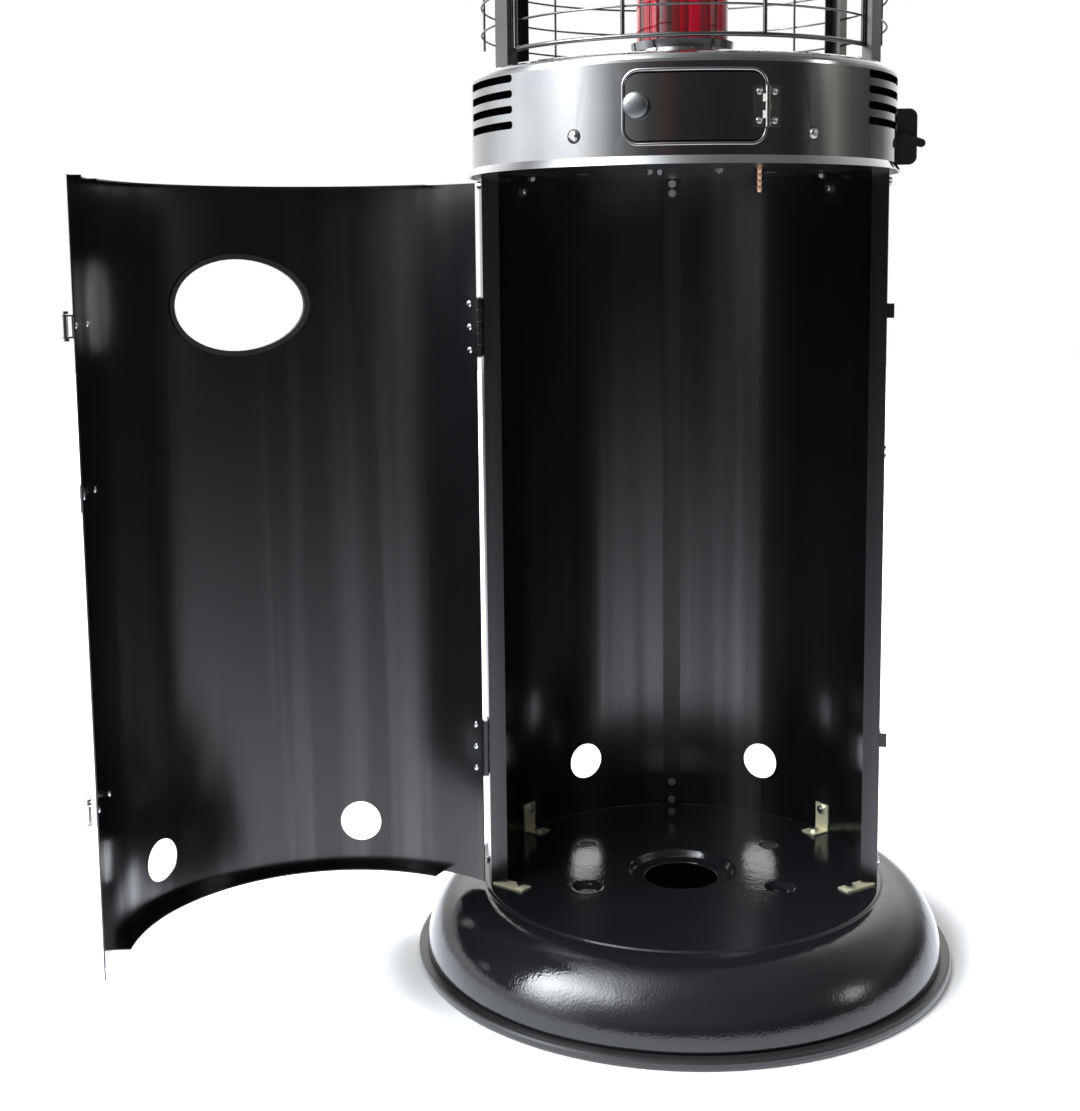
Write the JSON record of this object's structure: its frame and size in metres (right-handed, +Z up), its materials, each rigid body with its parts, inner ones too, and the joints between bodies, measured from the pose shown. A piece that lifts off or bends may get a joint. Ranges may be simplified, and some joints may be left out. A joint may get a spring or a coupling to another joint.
{
  "type": "patio heater",
  "caption": "Gas patio heater with a black round cabinet, open door, stainless control ring, ruby glass tube, wire guard and hat.",
  "frame": {"origin": "heater axis on the ground, under the middle of the base", "axes": "+Z up along the heater's axis, -Y towards the front with the cabinet door, +X to the right seen from the front"},
  "size_m": [0.8296, 0.5516, 1.8072],
  "materials": {
    "black_enamel": "gloss",
    "black_rubber": "satin",
    "gold_zinc": "satin",
    "dark_steel": "satin",
    "bright_zinc": "satin",
    "galvanised": "satin",
    "brushed_stainless": "satin",
    "brass_fitting": "satin",
    "heat_steel": "matte",
    "white_ceramic": "gloss",
    "copper_tip": "satin",
    "black_plastic": "satin",
    "chrome_plate": "gloss",
    "red_silicone": "matte",
    "ruby_glass": "gloss",
    "satin_grey": "satin",
    "red_plastic": "gloss"
  },
  "bodies": {
    "heater": {"base_pan": "black_enamel", "base_edge_trim": "black_rubber", "shell_left": "black_enamel", "shell_right": "black_enamel", "rear_seam_strip": "black_enamel", "floor_brackets": "gold_zinc", "top_brackets": "dark_steel", "cabinet_bolts": "bright_zinc", "door_catches": "bright_zinc", "shell_hinge_leaves": "black_enamel", "hinge_pins": "bright_zinc", "burner_deck": "galvanised", "control_ring": "brushed_stainless", "ring_top_plate": "galvanised", "ring_screws": "brushed_stainless", "hose_barb": "brass_fitting", "gas_inlet_pipe": "brass_fitting", "gas_valve": "brass_fitting", "control_panel": "dark_steel", "burner_pipe": "brass_fitting", "burner_cup": "galvanised", "burner_head": "heat_steel", "pilot_burner": "bright_zinc", "spark_electrode": "white_ceramic", "thermocouple": "copper_tip", "lead_wires": "black_rubber", "piezo_igniter": "black_plastic", "tilt_switch": "black_plastic", "tube_socket": "chrome_plate", "tube_gaskets": "red_silicone", "glass_tube": "ruby_glass", "upper_collar": "chrome_plate", "top_plate": "brushed_stainless", "guard_posts": "brushed_stainless", "front_guard": "chrome_plate", "left_guard": "chrome_plate", "right_guard": "chrome_plate", "rear_guard": "chrome_plate", "reflector_hat": "brushed_stainless", "hat_spacers": "brushed_stainless", "hat_nuts": "bright_zinc", "side_bracket": "bright_zinc", "ring_hinge_leaf": "brushed_stainless"},
    "cabinet_door": {"door_panel": "black_enamel", "porthole_trim": "black_rubber", "door_hinge_leaves": "black_enamel", "door_rivets": "bright_zinc", "latch_bases": "chrome_plate", "door_plate": "brushed_stainless"},
    "upper_latch": {"upper_latch_lever": "chrome_plate"},
    "lower_latch": {"lower_latch_lever": "chrome_plate"},
    "upper_bail": {"upper_latch_bail": "chrome_plate"},
    "lower_bail": {"lower_latch_bail": "chrome_plate"},
    "control_flap": {"control_door": "brushed_stainless", "control_door_knob": "satin_grey", "control_door_leaf": "brushed_stainless"},
    "spindle": {"valve_spindle": "bright_zinc"},
    "knob": {"gas_knob": "black_plastic"},
    "igniter_button": {"piezo_button": "red_plastic"},
    "side_wing": {"side_lever": "black_plastic"}
  },
  "joints": [
    {"name": "cabinet_door_hinge", "type": "hinge", "parent": "heater", "child": "cabinet_door", "pos_m": [-0.1986, -0.0475, 0.431], "axis": [0, 0, 1], "range_deg": [-20, 144]},
    {"name": "upper_latch_pivot", "type": "hinge", "parent": "cabinet_door", "child": "upper_latch", "pos_m": [-0.53564, -0.2574, 0.658], "axis": [0, 0, -1], "range_deg": [-100, 0]},
    {"name": "lower_latch_pivot", "type": "hinge", "parent": "cabinet_door", "child": "lower_latch", "pos_m": [-0.53564, -0.2574, 0.2285], "axis": [0, 0, -1], "range_deg": [-100, 0]},
    {"name": "upper_bail_pivot", "type": "hinge", "parent": "upper_latch", "child": "upper_bail", "pos_m": [-0.53735, -0.25103, 0.658], "axis": [0, 0, 1], "range_deg": [0, 186]},
    {"name": "lower_bail_pivot", "type": "hinge", "parent": "lower_latch", "child": "lower_bail", "pos_m": [-0.53735, -0.25103, 0.2285], "axis": [0, 0, 1], "range_deg": [0, 186]},
    {"name": "control_flap_hinge", "type": "hinge", "parent": "heater", "child": "control_flap", "pos_m": [0.06241, -0.19884, 0.8389], "axis": [0, 0, 1], "range_deg": [0, 115]},
    {"name": "spindle_push", "type": "slide", "parent": "heater", "child": "spindle", "axis": [0, 1, 0], "range_m": [0, 0.004], "stiffness_N_per_m": 700, "springref_m": -0.003},
    {"name": "knob_turn", "type": "hinge", "parent": "spindle", "child": "knob", "pos_m": [-0.026, -0.19, 0.8382], "axis": [0, -1, 0], "range_deg": [0, 180]},
    {"name": "igniter_push", "type": "slide", "parent": "heater", "child": "igniter_button", "axis": [0, 1, 0], "range_m": [0, 0.006], "stiffness_N_per_m": 600, "springref_m": -0.004},
    {"name": "side_wing_turn", "type": "hinge", "parent": "heater", "child": "side_wing", "pos_m": [0.2144, -0.0034, 0.8254], "axis": [0, -1, 0], "range_deg": [-30, 60]}
  ]
}
